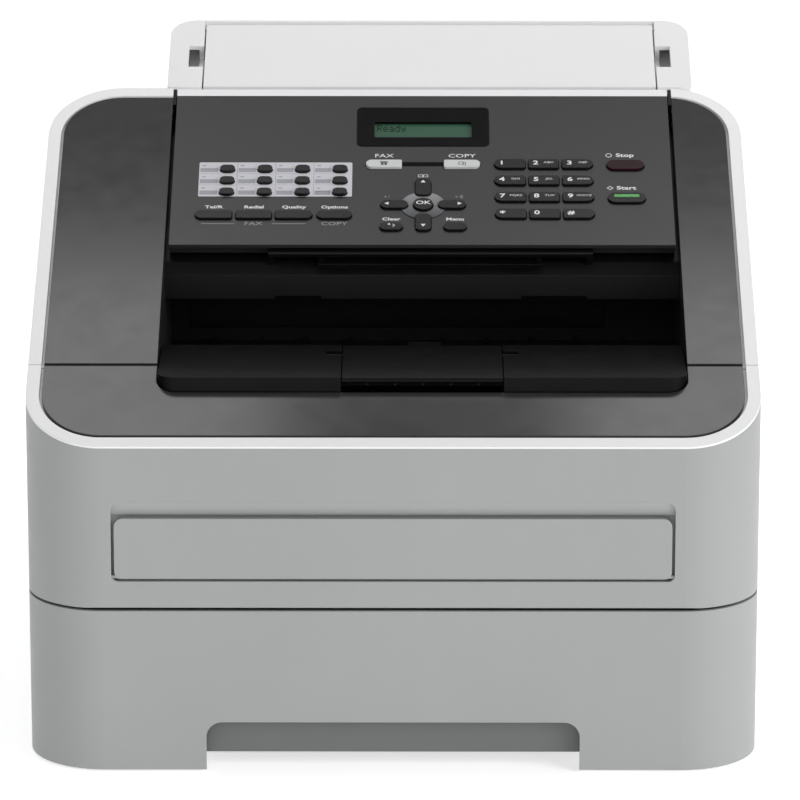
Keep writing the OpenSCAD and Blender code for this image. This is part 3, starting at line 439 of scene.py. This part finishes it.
class Print:
    """One piece made of several flat shapes that lie on the slope, each with its own material."""

    def __init__(self, name, body, slot):
        self.name, self.body, self.slot = name, body, slot
        self.verts, self.faces, self.paints, self.materials = [], [], [], []

    def add(self, mesh, material, x=0.0, l=0.0, n=0.0):
        if material not in self.materials:
            self.materials.append(material)
        index = self.materials.index(material)
        start = len(self.verts)
        place = TO_SLOPE @ Matrix.Translation((x, l, n))
        self.verts += [tuple(place @ v.co) for v in mesh.vertices]
        for face in mesh.polygons:
            self.faces.append([start + v for v in face.vertices])
            self.paints.append(index)
        bpy.data.meshes.remove(mesh)

    def finish(self):
        mesh = bpy.data.meshes.new(self.name)
        mesh.from_pydata(self.verts, [], self.faces)
        for material in self.materials:
            mesh.materials.append(material)
        mesh.polygons.foreach_set("material_index", self.paints)
        mesh.validate()
        o = bpy.data.objects.new(self.name, mesh)
        bpy.context.scene.collection.objects.link(o)
        weld = o.modifiers.new("weld", "WELD")
        weld.merge_threshold = 0.000002
        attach(o, self.body)
        return o


LIFT = 0.00002      # how far printed ink stands off the plastic
WIDE = 1.25         # the labels' letters are wider than the font's


def key_place(node):
    """Middle of a key's top in the slope's frame, with its half width and half depth."""
    low, high = slope_box(node)
    flange = 0.0008
    return ((low.x + high.x) / 2, (low.y + high.y) / 2, high.z,
            (high.x - low.x) / 2 - flange, (high.y - low.y) / 2 - flange)


def triangle(size, turn):
    """Arrow head that points along +x turned by so many degrees."""
    points = [(size * 0.6, 0), (-size * 0.45, size * 0.62), (-size * 0.45, -size * 0.62)]
    c, s = cos(radians(turn)), sin(radians(turn))
    return [(x * c - y * s, x * s + y * c) for x, y in points]


def frame_outline(x0, y0, x1, y1, line, r=0.0002):
    """Outer and inner outline of a thin rectangular frame."""
    return [rounded(x0, y0, x1, y1, r), rounded(x0 + line, y0 + line, x1 - line, y1 - line, r)]


def document_icon(size):
    """A sheet with a folded corner in front of another sheet."""
    s, line = size, size * 0.14
    return (frame_outline(-s * 0.9, -s * 0.55, s * 0.3, s * 0.6, line)
            + frame_outline(-s * 0.3 + line * 4, -s * 0.8, s * 1.0, s * 0.35, line))


def handset_icon(size):
    """A telephone seen from the front."""
    s = size
    return [rounded(-s, s * 0.25, s, s * 0.7, s * 0.2),
            rounded(-s * 0.75, -s * 0.7, s * 0.75, s * 0.1, s * 0.15),
            ring(0, -s * 0.3, s * 0.24, 16)]


# Letters on the number keys, as on any telephone keypad
LETTERS = {"2": "ABC", "3": "DEF", "4": "GHI", "5": "JKL", "6": "MNO", "7": "PQRS", "8": "TUV", "9": "WXYZ"}
SIGNS = {"star": "*", "hash": "#"}


def digit_legends():
    for name in ["1", "2", "3", "4", "5", "6", "7", "8", "9", "star", "0", "hash"]:
        node = "key_" + name
        x, l, n, half_x, half_l = key_place(node)
        legend = Print("legend_" + node, node, "key_light")
        sign = SIGNS.get(name, name)
        low = 0.0016 if sign == "*" else 0.0
        legend.add(text_mesh(sign, 0.0056 if sign == "*" else 0.0047, WIDE, bold=0.00012), INK_WHITE,
                   x - half_x * 0.52, l + 0.0004 - low * 0.4, n + LIFT)
        if name in LETTERS:
            legend.add(text_mesh(LETTERS[name], 0.0022, WIDE, bold=0.00004), INK_LIGHT,
                       x + half_x * 0.36, l + 0.0008, n + LIFT)
        legend.finish()


def arrow_legends():
    for node, turn, across, along in (
            ("key_up", 90, 0, 0.62), ("key_down", -90, 0, -0.45), ("key_left", 180, -0.55, 0.1),
            ("key_right", 0, 0.55, 0.1)):
        x, l, n, half_x, half_l = key_place(node)
        legend = Print("legend_" + node, node, "key_light")
        legend.add(shape_mesh([triangle(0.0021, turn)], 0.00004), INK_WHITE,
                   x + across * half_x, l + along * half_l, n + LIFT)
        legend.finish()


def other_legends():
    x, l, n, half_x, half_l = key_place("key_ok")
    legend = Print("legend_key_ok", "key_ok", "key_light")
    legend.add(text_mesh("OK", 0.0042, WIDE, bold=0.00006), INK_WHITE, x, l + 0.0006, n + LIFT)
    legend.finish()
    for node, icon in (("key_fax", handset_icon), ("key_copy", document_icon)):
        x, l, n, half_x, half_l = key_place(node)
        legend = Print("legend_" + node, node, "key")
        legend.add(shape_mesh(icon(0.0021), 0.00004), INK_DARK, x, l, n + LIFT)
        legend.finish()
    x, l, n, half_x, half_l = key_place("key_clear")
    legend = Print("legend_key_clear", "key_clear", "key_light")
    bow = arc(0.0006, 0, 0.0012, -90, 90, 10) + arc(0.0006, 0, 0.0008, 90, -90, 10)
    legend.add(shape_mesh([bow], 0.00004), INK_WHITE, x, l + 0.0004, n + LIFT)
    legend.add(shape_mesh([triangle(0.0014, 180)], 0.00004), INK_WHITE, x - 0.0012, l + 0.0014, n + LIFT)
    legend.finish()
    x, l, n, half_x, half_l = key_place("key_start")
    lens = Print("start_lens", "key_start", "display")
    lens.add(shape_mesh([rounded(-half_x * 0.68, -0.0011, half_x * 0.68, 0.0011, 0.0009)], 0.0003),
             GREEN_LENS, x, l + 0.0012, n - 0.0001)
    lens.finish()


def panel_print():
    """Words, lines and icons on the control panel itself."""
    words = Print("panel_print", "control_panel", "key_light")

    def write(text, size, x, l, wide=WIDE, bold=0.00005, paint=INK_WHITE):
        words.add(text_mesh(text, size, wide, bold=bold), paint, x, l, LIFT)

    def above(node, text, size=0.0034, gap=0.0044, bold=0.00009):
        x, l, n, half_x, half_l = key_place(node)
        write(text, size, x, l + half_l + gap, bold=bold)

    above("key_hook", "Tel/R")
    above("key_redial", "Redial")
    above("key_resolution", "Quality")
    above("key_options", "Options")
    above("key_fax", "FAX", 0.0044, 0.0050, 0.00002)
    above("key_copy", "COPY", 0.0044, 0.0050, 0.00002)
    above("key_stop", "Stop", 0.0042, 0.0056, 0.0001)
    above("key_start", "Start", 0.0042, 0.0056, 0.0001)
    above("key_clear", "Clear")
    above("key_menu", "Menu")
    # FAX and COPY groups under the function keys
    left = key_place("key_hook")
    right = key_place("key_resolution")
    options = key_place("key_options")
    middle = (left[0] + right[0]) / 2
    line_l = left[1] - left[4] - 0.0036
    write("FAX", 0.0042, middle, line_l, bold=0.00002, paint=INK_GREY)
    write("COPY", 0.0042, options[0], line_l, bold=0.00002, paint=INK_GREY)
    for side in (-1, 1):
        centre = middle + side * 0.0185
        words.add(shape_mesh([rounded(-0.0087, -0.00022, 0.0087, 0.00022, 0.0001)], 0.00004), INK_GREY,
                  centre, line_l, LIFT)
    # small icons: book above the up key, speakers above the side keys, signs beside stop and start
    x, l, n, half_x, half_l = key_place("key_up")
    for side in (-1, 1):
        words.add(shape_mesh(frame_outline(-0.0013, -0.0011, 0.0013, 0.0011, 0.0003), 0.00004), INK_WHITE,
                  x + side * 0.0013, l + half_l + 0.0038, LIFT)
    for node, waves in (("key_left", 1), ("key_right", 3)):
        x, l, n, half_x, half_l = key_place(node)
        at = x - 0.0035 if waves == 1 else x + 0.0035
        words.add(shape_mesh([triangle(0.0012, 180)], 0.00004), INK_GREY,
                  at - 0.0012, l + half_l + 0.0046, LIFT)
        for k in range(waves):
            wave = arc(0, 0, 0.0010 + 0.0007 * k, -50, 50, 6) + arc(0, 0, 0.0007 + 0.0007 * k, 50, -50, 6)
            words.add(shape_mesh([wave], 0.00004), INK_GREY, at, l + half_l + 0.0046, LIFT)
    x, l, n, half_x, half_l = key_place("key_stop")
    words.add(shape_mesh([ring(0, 0, 0.0017, 24), ring(0, 0, 0.0013, 24)], 0.00004), INK_WHITE,
              x - 0.0085, l + half_l + 0.0056, LIFT)
    x, l, n, half_x, half_l = key_place("key_start")
    words.add(shape_mesh([[(0.0018, 0), (0, 0.0017), (-0.0018, 0), (0, -0.0017)],
                          [(0.0012, 0), (0, 0.0011), (-0.0012, 0), (0, -0.0011)]], 0.00004), INK_WHITE,
              x - 0.0085, l + half_l + 0.0056, LIFT)
    words.finish()


def link_bar():
    """Flat black sheet between the fax key and the copy key, painted shade of the groove there."""
    fax, copy = key_place("key_fax"), key_place("key_copy")
    bar = Print("mode_bar", "control_panel", "window")
    a = fax[0] + fax[3] + 0.0004
    b = copy[0] - copy[3] - 0.0004
    bar.add(shape_mesh([rounded(a, -0.0018, b, 0.0018, 0.0002)], 0.00008), GROOVE_SHADE, 0, fax[1] + 0.0008, 0)
    bar.finish()


def label_card():
    """Speed-dial card with three rows of four fields, cut out round the one-touch keys."""
    card = Print("label_card", "control_panel", "key_light")
    x0, x1, l0, l1 = -0.1029, -0.0223, 0.2003, 0.2302
    touch = [(x, l) for x in TOUCH_X for l in TOUCH_L]
    half_x, half_l, gap = 0.0038, 0.0026, 0.0004
    holes = [rounded(x - half_x - gap, l - half_l - gap, x + half_x + gap, l + half_l + gap,
                     half_l + gap - 0.0001) for x, l in touch]
    card.add(shape_mesh([rounded(x0, l0, x1, l1, 0.0008)] + holes, 0.00022), LABEL)
    step_x = (x1 - x0) / 4
    step_l = (l1 - l0) / 3
    for column in range(4):
        for row in range(3):
            a = x0 + column * step_x + 0.0006
            c = l0 + row * step_l
            b = touch[column * 3][0] - half_x - gap - 0.0008
            card.add(shape_mesh([rounded(a, c + step_l * 0.14, b, c + step_l * 0.5, 0.0002)], 0.00003),
                     LABEL_BAND, 0, 0, 0.00022)
            card.add(shape_mesh([rounded(a + 0.001, c + step_l * 0.68, a + 0.003, c + step_l * 0.76, 0.0001)],
                                0.00003), INK_GREY, 0, 0, 0.00022)
    for column in range(1, 4):
        x = x0 + column * step_x
        card.add(shape_mesh([rounded(x - 0.00012, l0 + 0.0004, x + 0.00012, l1 - 0.0004, 0.0001)], 0.00003),
                 INK_GREY, 0, 0, 0.00022)
    for row in range(1, 3):
        l = l0 + row * step_l
        for column in range(4):
            a = x0 + column * step_x + 0.0004
            b = touch[column * 3][0] - half_x - gap
            card.add(shape_mesh([rounded(a, l - 0.0001, b, l + 0.0001, 0.00008)], 0.00003), INK_GREY,
                     0, 0, 0.00022)
    last = touch[3 * 3][0]
    row_l = TOUCH_L[2]
    card.add(shape_mesh(frame_outline(last - 0.0128, row_l - 0.0012, last - 0.0056, row_l + 0.0012, 0.0003),
                        0.00003), INK_GREY, 0, 0, 0.00022)
    card.finish()


def touch_places():
    """Columns and rows of the one-touch keys, from the places of their node's corners."""
    low, high = slope_box("one_touch_keys")
    flange = 0.0008
    a, b = low.x + flange + 0.0038, high.x - flange - 0.0038
    c, d = low.y + flange + 0.0026, high.y - flange - 0.0026
    return [a + (b - a) * k / 3 for k in range(4)], [c + (d - c) * k / 2 for k in (2, 1, 0)]


TOUCH_X, TOUCH_L = touch_places()


def nav_disc():
    """Silver disc round the OK key, cut out for the keys that cross it."""
    x, l, n, half_x, half_l = key_place("key_ok")
    disc = Print("nav_disc", "control_panel", "key_light")
    outlines = [ring(0, 0, 0.0117, 96), ring(0, 0, half_x + 0.0005, 48)]
    body = shape_mesh(outlines, 0.0004)
    disc.add(body, SILVER, x, l, 0)
    o = disc.finish()
    cutters = []
    for node in ("key_up", "key_down", "key_left", "key_right"):
        cx, cl, cn, hx, hl = key_place(node)
        cutter = Print("cutter", "control_panel", "key_light")
        r = 0.0029 if node in ("key_up", "key_down") else hl + 0.0003
        cutter.add(shape_mesh([rounded(-hx - 0.0004, -hl - 0.0004, hx + 0.0004, hl + 0.0004, r)], 0.004),
                   SILVER, cx, cl, -0.002)
        cutters.append(cutter.finish())
    for cutter in cutters:
        cut = o.modifiers.new("cut", "BOOLEAN")
        cut.object = cutter
        cut.operation = "DIFFERENCE"
        cut.solver = "EXACT"
    bpy.context.view_layer.update()
    depsgraph = bpy.context.evaluated_depsgraph_get()
    mesh = bpy.data.meshes.new_from_object(o.evaluated_get(depsgraph))
    o.modifiers.clear()
    o.data = mesh
    for cutter in cutters:
        bpy.data.objects.remove(cutter)
    soft = o.modifiers.new("edges", "BEVEL")
    soft.width = 0.0001
    soft.segments = 2
    soft.limit_method = "ANGLE"


# Dot patterns of the display's letters, five dots wide and seven high
GLYPHS = {
    "R": ["####.", "#...#", "#...#", "####.", "#.#..", "#..#.", "#...#"],
    "e": [".....", ".....", ".###.", "#...#", "#####", "#....", ".###."],
    "a": [".....", ".....", ".###.", "....#", ".####", "#...#", ".####"],
    "d": ["....#", "....#", ".####", "#...#", "#...#", "#...#", ".####"],
    "y": [".....", ".....", "#...#", "#...#", ".####", "....#", ".###."],
}


def display_text():
    low, high = slope_box("display_screen")
    text = Print("display_text", "control_panel", "display")
    dot, pitch = 0.00048, 0.00052
    left, top = low.x + 0.0016, high.y - 0.0022
    for place, letter in enumerate("Ready"):
        for row, line in enumerate(GLYPHS[letter]):
            for column, mark in enumerate(line):
                if mark == "#":
                    x = left + (place * 6 + column) * pitch
                    l = top - row * pitch * 1.7
                    top_l = l + dot * 1.6
                    square = [(x, l), (x + dot, l), (x + dot, top_l), (x, top_l)]
                    text.add(shape_mesh([square], 0.00003), LCD_INK, 0, 0, high.z + LIFT)
    text.finish()


digit_legends()
arrow_legends()
other_legends()
panel_print()
link_bar()
label_card()
nav_disc()
display_text()


# ---------------------------------------------------------------- stage, light and camera
FLOOR_GLOW = 0.56   # keeps the pale floor near white without stronger lights


def stage():
    floor = bpy.data.meshes.new("floor")
    r, back, top, bend = 3.0, 2.4, 1.3, 0.8
    profile = [(-r * 1.5, 0)] + [(back - bend + bend * sin(t), bend - bend * cos(t))
                                 for t in [pi / 2 * k / 16 for k in range(17)]] + [(back, top)]
    verts = [(x, y, z) for y, z in profile for x in (-r * 1.6, r * 1.6)]
    faces = [(2 * k, 2 * k + 1, 2 * k + 3, 2 * k + 2) for k in range(len(profile) - 1)]
    floor.from_pydata(verts, [], faces)
    floor.shade_smooth()
    o = bpy.data.objects.new("floor", floor)
    bpy.context.scene.collection.objects.link(o)
    s = Surface("floor_paper")
    s.paint(s.tint(s.noise(0.4), linear(246, 246, 246), linear(250, 250, 250)))
    s.set(Roughness=0.9, Emission_Strength=FLOOR_GLOW, Emission_Color=(1, 1, 1, 1))
    floor.materials.append(s.material)


def light(name, place, target, size, power, colour=(1, 1, 1)):
    lamp = bpy.data.lights.new(name, "AREA")
    lamp.shape = "RECTANGLE"
    lamp.size, lamp.size_y = size
    lamp.energy = power
    lamp.color = colour
    o = bpy.data.objects.new(name, lamp)
    o.location = place
    o.rotation_euler = (Vector(target) - Vector(place)).to_track_quat("-Z", "Y").to_euler()
    bpy.context.scene.collection.objects.link(o)


def sky():
    """Soft room light, dimmer overhead than at the sides and brighter on the right."""
    world = bpy.data.worlds.new("studio")
    world.use_nodes = True
    tree = world.node_tree
    place = tree.nodes.new("ShaderNodeTexCoord")
    split = tree.nodes.new("ShaderNodeSeparateXYZ")
    fade = tree.nodes.new("ShaderNodeMapRange")
    for socket, value in (("From Min", 0.2), ("From Max", 0.8), ("To Min", SKY_LOW), ("To Max", SKY_HIGH)):
        fade.inputs[socket].default_value = value
    tree.links.new(place.outputs["Generated"], split.inputs["Vector"])
    tree.links.new(split.outputs["Z"], fade.inputs["Value"])
    lean = tree.nodes.new("ShaderNodeMapRange")
    for socket, value in (("From Min", -1.0), ("From Max", 1.0), ("To Min", 0.58), ("To Max", 1.22)):
        lean.inputs[socket].default_value = value
    both = tree.nodes.new("ShaderNodeMath")
    both.operation = "MULTIPLY"
    tree.links.new(split.outputs["X"], lean.inputs["Value"])
    tree.links.new(fade.outputs["Result"], both.inputs[0])
    tree.links.new(lean.outputs["Result"], both.inputs[1])
    tree.links.new(both.outputs["Value"], tree.nodes["Background"].inputs["Strength"])
    tree.nodes["Background"].inputs["Color"].default_value = (1, 1, 1, 1)
    bpy.context.scene.world = world


SKY_LOW, SKY_HIGH = 0.58, 0.3
HEIGHT = 1.25       # of the overhead soft boxes


def box_light(name, x0, x1, y0, y1, brightness):
    """Overhead soft box that faces down; brightness is its radiance."""
    size = (x1 - x0, y1 - y0)
    place = ((x0 + x1) / 2, (y0 + y1) / 2, HEIGHT)
    light(name, place, (place[0], place[1], 0), size, brightness * pi * size[0] * size[1])


def lights():
    sky()
    box_light("overhead_left", -0.8, -0.09, 0.1, 0.555, 2.5)
    box_light("overhead_right", 0.125, 0.95, 0.1, 0.555, 2.5)
    box_light("overhead_middle", -0.09, 0.125, 0.485, 0.555, 2.5)
    light("side_right", (2.2, -1.6, 1.2), (0, 0, 0.12), (1.6, 1.6), 34)
    light("front_fill", (-0.3, -3.2, 1.3), (0, 0, 0.12), (2.0, 0.8), 10)


CAMERA_TARGET = Vector((0.00325, -0.1, 0.17166))
CAMERA_DISTANCE = 2.8219
CAMERA_TILT = radians(16)
CAMERA_TURN = radians(0.18)
CAMERA_LENS = 249.85


def camera():
    lens = bpy.data.cameras.new("camera")
    lens.lens = CAMERA_LENS
    lens.sensor_width = 36
    lens.clip_end = 30
    o = bpy.data.objects.new("camera", lens)
    o.rotation_euler = (pi / 2 - CAMERA_TILT, 0, CAMERA_TURN)
    towards = o.rotation_euler.to_matrix() @ Vector((0, 0, -1))
    o.location = CAMERA_TARGET - towards * CAMERA_DISTANCE
    bpy.context.scene.collection.objects.link(o)
    bpy.context.scene.camera = o


stage()
lights()
camera()
bpy.context.scene.view_settings.view_transform = "Standard"
